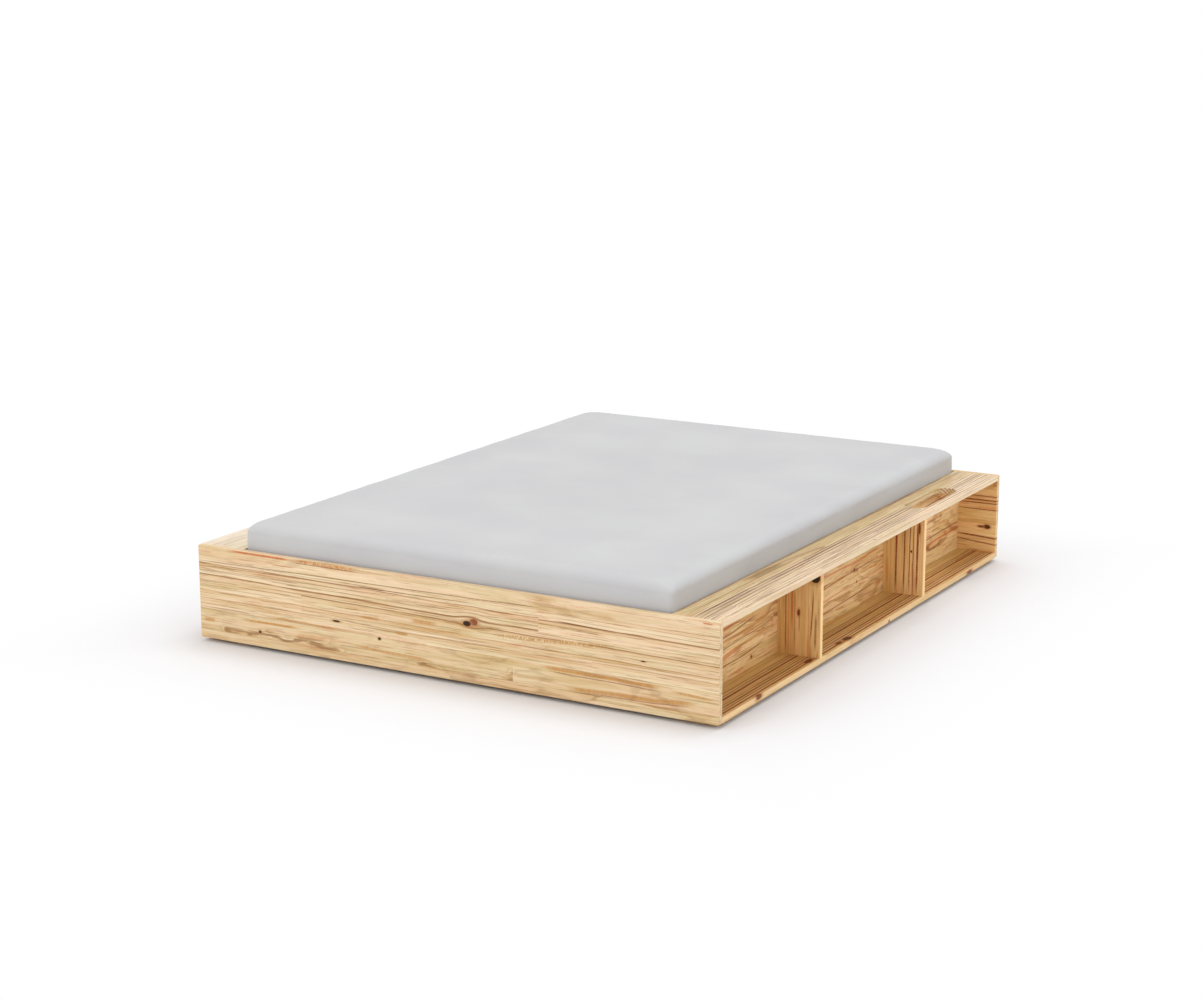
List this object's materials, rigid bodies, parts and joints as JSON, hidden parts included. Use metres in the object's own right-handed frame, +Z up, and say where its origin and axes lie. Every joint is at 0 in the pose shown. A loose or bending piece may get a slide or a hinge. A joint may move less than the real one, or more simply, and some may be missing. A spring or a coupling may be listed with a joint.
{
  "type": "low storage bed",
  "caption": "Low solid pine floor bed with open shelf compartments down both long sides, slotted top boards, a roll-out slatted base and a sunk-in mattress.",
  "frame": {"origin": "middle of the bed's footprint, on the floor", "axes": "+Z up, +Y towards the head board, +X towards the sleeper's right"},
  "size_m": [1.708, 2.05, 0.3719],
  "materials": {
    "pine_board": "clear satin lacquer on glued-up solid pine",
    "planed_pine": "planed, unfinished pine",
    "slat_pine": "planed, unfinished pine",
    "beech_dowel": "turned beech",
    "mattress_cover": "smooth light grey knit",
    "mattress_foam": "open-cell foam",
    "webbing": "woven webbing",
    "zinc_steel": "zinc plated",
    "zinc_sheet": "galvanised sheet",
    "cast_zinc": "die cast",
    "glide_plastic": "dark brown moulded plastic"
  },
  "bodies": {
    "bed_frame": {"batten_screws": "zinc_steel", "cam_bolts": "zinc_steel", "cam_discs": "cast_zinc", "centre_beam": "planed_pine", "centre_glide_1": "glide_plastic", "centre_glide_2": "glide_plastic", "centre_leg_1": "planed_pine", "centre_leg_2": "planed_pine", "foot_beam_hanger": "zinc_sheet", "foot_board": "pine_board", "glide_screws": "zinc_steel", "hanger_screws": "zinc_steel", "head_beam_hanger": "zinc_sheet", "head_board": "pine_board", "left_back_panel": "pine_board", "left_bottom_board": "pine_board", "left_foot_end_divider": "pine_board", "left_glide_1": "glide_plastic", "left_glide_2": "glide_plastic", "left_glide_3": "glide_plastic", "left_glide_4": "glide_plastic", "left_head_end_divider": "pine_board", "left_slat_batten": "planed_pine", "left_top_board": "pine_board", "leg_studs": "zinc_steel", "right_back_panel": "pine_board", "right_bottom_board": "pine_board", "right_foot_end_divider": "pine_board", "right_glide_1": "glide_plastic", "right_glide_2": "glide_plastic", "right_glide_3": "glide_plastic", "right_glide_4": "glide_plastic", "right_head_end_divider": "pine_board", "right_slat_batten": "planed_pine", "right_top_board": "pine_board", "unit_screws": "zinc_steel", "wood_dowels": "beech_dowel"},
    "slatted_base": {"left_webbing_strap": "webbing", "right_webbing_strap": "webbing", "slat_01": "slat_pine", "slat_02": "slat_pine", "slat_03": "slat_pine", "slat_04": "slat_pine", "slat_05": "slat_pine", "slat_06": "slat_pine", "slat_07": "slat_pine", "slat_08": "slat_pine", "slat_09": "slat_pine", "slat_10": "slat_pine", "slat_11": "slat_pine", "slat_12": "slat_pine", "slat_13": "slat_pine", "slat_14": "slat_pine", "webbing_staples": "zinc_steel"},
    "mattress": {"mattress_cover": "mattress_cover", "mattress_core": "mattress_foam"}
  },
  "joints": [
    {"name": "base_lift", "type": "slide", "parent": "bed_frame", "child": "slatted_base", "axis": [0, 0, 1], "range_m": [0, 0.3]},
    {"name": "mattress_lift", "type": "slide", "parent": "slatted_base", "child": "mattress", "axis": [0, 0, 1], "range_m": [0, 0.3]}
  ]
}
